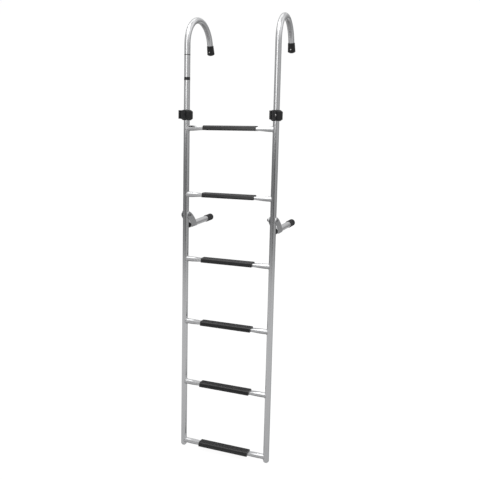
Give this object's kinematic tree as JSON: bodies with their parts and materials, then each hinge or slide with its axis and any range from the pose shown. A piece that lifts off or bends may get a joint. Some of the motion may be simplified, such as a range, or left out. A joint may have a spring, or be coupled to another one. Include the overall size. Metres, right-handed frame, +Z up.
{
  "type": "hook-on boat ladder",
  "caption": "Aluminium boat ladder with two round rails, flattened rungs with black ribbed treads, swivelling gunwale hooks and folding rubber-tipped stand-offs.",
  "frame": {"origin": "midway between the two hooks, on the inside of their crowns, where the gunwale carries the ladder", "axes": "+Z up along the rails, +X along the rungs, +Y from the climber towards the boat"},
  "size_m": [0.442, 0.3073, 1.8594],
  "materials": {
    "tube_aluminium": "satin anodised",
    "tread_plastic": "fine grained, ribbed along the tread",
    "collar_plastic": "moulded, slightly satin",
    "cap_plastic": "moulded, satin",
    "standoff_rubber": "matt, ringed",
    "plug_plastic": "moulded",
    "bracket_aluminium": "satin, cut plate",
    "stainless": "bright"
  },
  "bodies": {
    "ladder": {"rung_1": "tube_aluminium", "tread_1": "tread_plastic", "rung_2": "tube_aluminium", "tread_2": "tread_plastic", "rung_3": "tube_aluminium", "tread_3": "tread_plastic", "rung_4": "tube_aluminium", "tread_4": "tread_plastic", "rung_5": "tube_aluminium", "tread_5": "tread_plastic", "rung_6": "tube_aluminium", "tread_6": "tread_plastic", "rail_left": "tube_aluminium", "rail_plug_left": "plug_plastic", "collar_left": "collar_plastic", "collar_bolt_left": "stainless", "standoff_pivot_left": "stainless", "rail_right": "tube_aluminium", "rail_plug_right": "plug_plastic", "collar_right": "collar_plastic", "collar_bolt_right": "stainless", "standoff_pivot_right": "stainless"},
    "hook_arm_left": {"hook_left": "tube_aluminium", "hook_cap_left": "cap_plastic"},
    "standoff_left": {"standoff_bracket_left": "bracket_aluminium", "standoff_tube_left": "tube_aluminium", "standoff_plug_left": "cap_plastic", "standoff_cap_left": "standoff_rubber"},
    "hook_arm_right": {"hook_right": "tube_aluminium", "hook_cap_right": "cap_plastic"},
    "standoff_right": {"standoff_bracket_right": "bracket_aluminium", "standoff_tube_right": "tube_aluminium", "standoff_plug_right": "cap_plastic", "standoff_cap_right": "standoff_rubber"}
  },
  "joints": [
    {"name": "hook_swivel_left", "type": "hinge", "parent": "ladder", "child": "hook_arm_left", "pos_m": [-0.196, -0.11, -0.3815], "axis": [0, 0, 1], "range_deg": [-20, 90]},
    {"name": "hook_swivel_right", "type": "hinge", "parent": "ladder", "child": "hook_arm_right", "pos_m": [0.196, -0.11, -0.3815], "axis": [0, 0, -1], "range_deg": [-15, 95]},
    {"name": "standoff_fold_left", "type": "hinge", "parent": "ladder", "child": "standoff_left", "pos_m": [-0.196, -0.11, -0.7945], "axis": [1, 0, 0], "range_deg": [-8, 86]},
    {"name": "standoff_fold_right", "type": "hinge", "parent": "ladder", "child": "standoff_right", "pos_m": [0.196, -0.11, -0.7945], "axis": [1, 0, 0], "range_deg": [-8, 86]}
  ]
}
